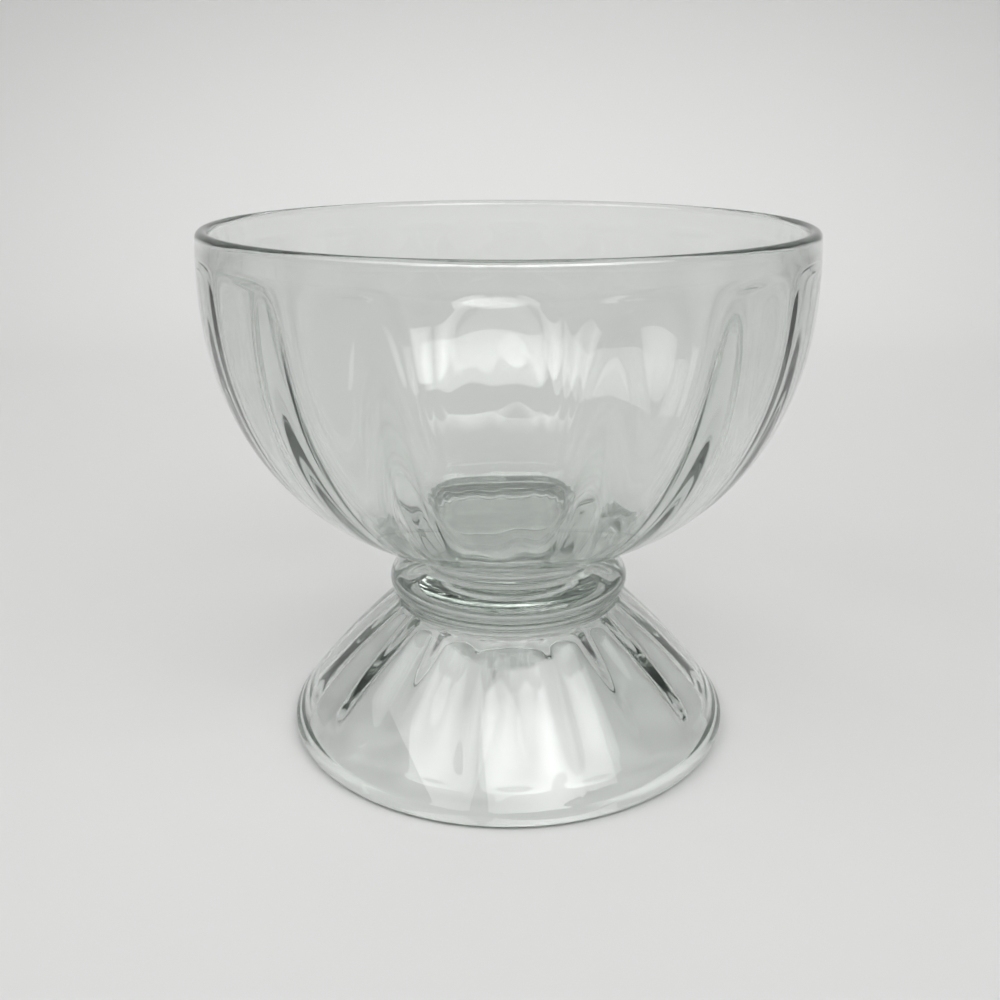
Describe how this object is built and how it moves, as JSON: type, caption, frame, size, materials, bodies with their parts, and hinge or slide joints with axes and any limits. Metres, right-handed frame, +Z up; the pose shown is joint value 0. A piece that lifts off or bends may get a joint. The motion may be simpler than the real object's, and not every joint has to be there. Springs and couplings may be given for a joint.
{
  "type": "parfait glass",
  "caption": "Clear pressed-glass footed parfait glass: a round bowl with panels inside, a rounded collar and a hollow bell-shaped foot, for serving cold desserts.",
  "frame": {"origin": "on the axis of the glass, at table level under the foot", "axes": "+Z up along the axis of the glass, -Y towards the viewer of the picture, +X to the viewer's right"},
  "size_m": [0.1282, 0.1282, 0.114],
  "materials": {
    "foot": "clear pressed glass, fire polished, faint grey-green in the thick edge",
    "collar": "clear pressed glass, fire polished",
    "bowl": "clear pressed glass, fire polished lip"
  },
  "bodies": {
    "root": {"foot": "foot", "collar": "collar", "bowl": "bowl"}
  },
  "joints": []
}
